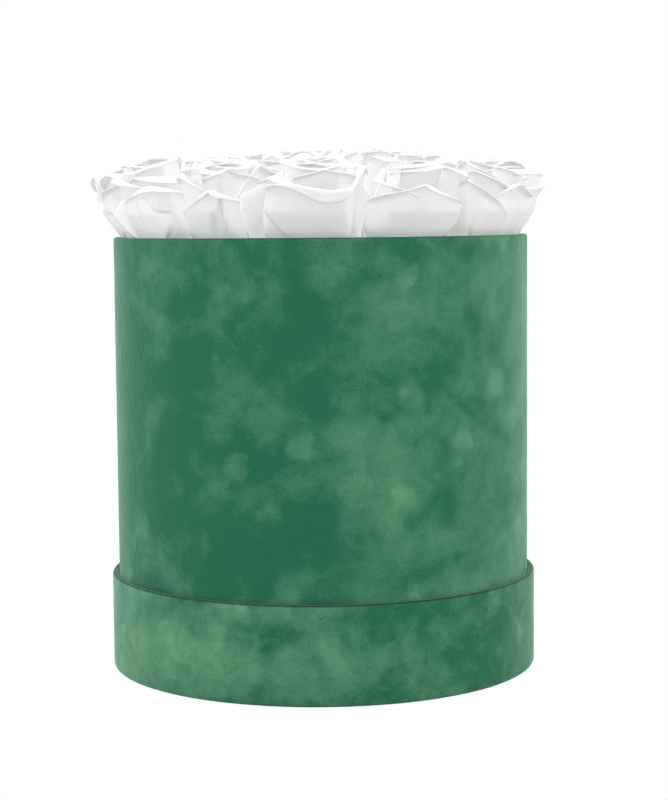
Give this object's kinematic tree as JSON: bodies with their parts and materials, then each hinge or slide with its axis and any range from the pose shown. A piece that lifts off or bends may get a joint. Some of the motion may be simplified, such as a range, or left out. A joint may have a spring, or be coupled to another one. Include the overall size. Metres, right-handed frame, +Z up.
{
  "type": "flower box",
  "caption": "Round velvet-covered board flower box standing in its own upturned lid, filled with white roses on short stems pushed into a foam disc.",
  "frame": {"origin": "centre of the lid's outer face, which rests on the table under the box", "axes": "+Z up through the roses, -Y to the front of the box"},
  "size_m": [0.2206, 0.2206, 0.2495],
  "materials": {
    "green_velvet": "crushed velvet, matte with a soft sheen",
    "greyboard": "matte",
    "lining_paper": "matte",
    "dry_foam": "matte",
    "white_petals": "matte",
    "green_stem": "matte"
  },
  "bodies": {
    "lid": {"lid_disc_board": "greyboard", "lid_disc_lining": "lining_paper", "lid_face_velvet": "green_velvet", "lid_ring_board": "greyboard", "lid_side_lining": "lining_paper", "lid_side_velvet": "green_velvet"},
    "box": {"box_base_board": "greyboard", "box_base_paper": "lining_paper", "box_floor_lining": "lining_paper", "box_side_lining": "lining_paper", "box_side_velvet": "green_velvet", "box_wall_board": "greyboard", "cross_board_lengthwise": "greyboard", "cross_board_crosswise": "greyboard", "shelf_board": "greyboard", "foam_disc": "dry_foam"},
    "rose_01": {"rose_01_head": "white_petals", "rose_01_stem": "green_stem"},
    "rose_02": {"rose_02_head": "white_petals", "rose_02_stem": "green_stem"},
    "rose_03": {"rose_03_head": "white_petals", "rose_03_stem": "green_stem"},
    "rose_04": {"rose_04_head": "white_petals", "rose_04_stem": "green_stem"},
    "rose_05": {"rose_05_head": "white_petals", "rose_05_stem": "green_stem"},
    "rose_06": {"rose_06_head": "white_petals", "rose_06_stem": "green_stem"},
    "rose_07": {"rose_07_head": "white_petals", "rose_07_stem": "green_stem"},
    "rose_08": {"rose_08_head": "white_petals", "rose_08_stem": "green_stem"},
    "rose_09": {"rose_09_head": "white_petals", "rose_09_stem": "green_stem"},
    "rose_10": {"rose_10_head": "white_petals", "rose_10_stem": "green_stem"},
    "rose_11": {"rose_11_head": "white_petals", "rose_11_stem": "green_stem"},
    "rose_12": {"rose_12_head": "white_petals", "rose_12_stem": "green_stem"},
    "rose_13": {"rose_13_head": "white_petals", "rose_13_stem": "green_stem"},
    "rose_14": {"rose_14_head": "white_petals", "rose_14_stem": "green_stem"},
    "rose_15": {"rose_15_head": "white_petals", "rose_15_stem": "green_stem"},
    "rose_16": {"rose_16_head": "white_petals", "rose_16_stem": "green_stem"},
    "rose_17": {"rose_17_head": "white_petals", "rose_17_stem": "green_stem"},
    "rose_18": {"rose_18_head": "white_petals", "rose_18_stem": "green_stem"},
    "rose_19": {"rose_19_head": "white_petals", "rose_19_stem": "green_stem"}
  },
  "joints": [
    {"name": "box_lift", "type": "slide", "parent": "lid", "child": "box", "axis": [0, 0, 1], "range_m": [0, 0.055]},
    {"name": "rose_01_pull", "type": "slide", "parent": "box", "child": "rose_01", "axis": [0, 0, 1], "range_m": [0, 0.105]},
    {"name": "rose_02_pull", "type": "slide", "parent": "box", "child": "rose_02", "axis": [0, 0, 1], "range_m": [0, 0.105]},
    {"name": "rose_03_pull", "type": "slide", "parent": "box", "child": "rose_03", "axis": [0, 0, 1], "range_m": [0, 0.105]},
    {"name": "rose_04_pull", "type": "slide", "parent": "box", "child": "rose_04", "axis": [0, 0, 1], "range_m": [0, 0.105]},
    {"name": "rose_05_pull", "type": "slide", "parent": "box", "child": "rose_05", "axis": [0, 0, 1], "range_m": [0, 0.105]},
    {"name": "rose_06_pull", "type": "slide", "parent": "box", "child": "rose_06", "axis": [0, 0, 1], "range_m": [0, 0.105]},
    {"name": "rose_07_pull", "type": "slide", "parent": "box", "child": "rose_07", "axis": [0, 0, 1], "range_m": [0, 0.105]},
    {"name": "rose_08_pull", "type": "slide", "parent": "box", "child": "rose_08", "axis": [0, 0, 1], "range_m": [0, 0.105]},
    {"name": "rose_09_pull", "type": "slide", "parent": "box", "child": "rose_09", "axis": [0, 0, 1], "range_m": [0, 0.105]},
    {"name": "rose_10_pull", "type": "slide", "parent": "box", "child": "rose_10", "axis": [0, 0, 1], "range_m": [0, 0.105]},
    {"name": "rose_11_pull", "type": "slide", "parent": "box", "child": "rose_11", "axis": [0, 0, 1], "range_m": [0, 0.105]},
    {"name": "rose_12_pull", "type": "slide", "parent": "box", "child": "rose_12", "axis": [0, 0, 1], "range_m": [0, 0.105]},
    {"name": "rose_13_pull", "type": "slide", "parent": "box", "child": "rose_13", "axis": [0, 0, 1], "range_m": [0, 0.105]},
    {"name": "rose_14_pull", "type": "slide", "parent": "box", "child": "rose_14", "axis": [0, 0, 1], "range_m": [0, 0.105]},
    {"name": "rose_15_pull", "type": "slide", "parent": "box", "child": "rose_15", "axis": [0, 0, 1], "range_m": [0, 0.105]},
    {"name": "rose_16_pull", "type": "slide", "parent": "box", "child": "rose_16", "axis": [0, 0, 1], "range_m": [0, 0.105]},
    {"name": "rose_17_pull", "type": "slide", "parent": "box", "child": "rose_17", "axis": [0, 0, 1], "range_m": [0, 0.105]},
    {"name": "rose_18_pull", "type": "slide", "parent": "box", "child": "rose_18", "axis": [0, 0, 1], "range_m": [0, 0.105]},
    {"name": "rose_19_pull", "type": "slide", "parent": "box", "child": "rose_19", "axis": [0, 0, 1], "range_m": [0, 0.105]}
  ]
}
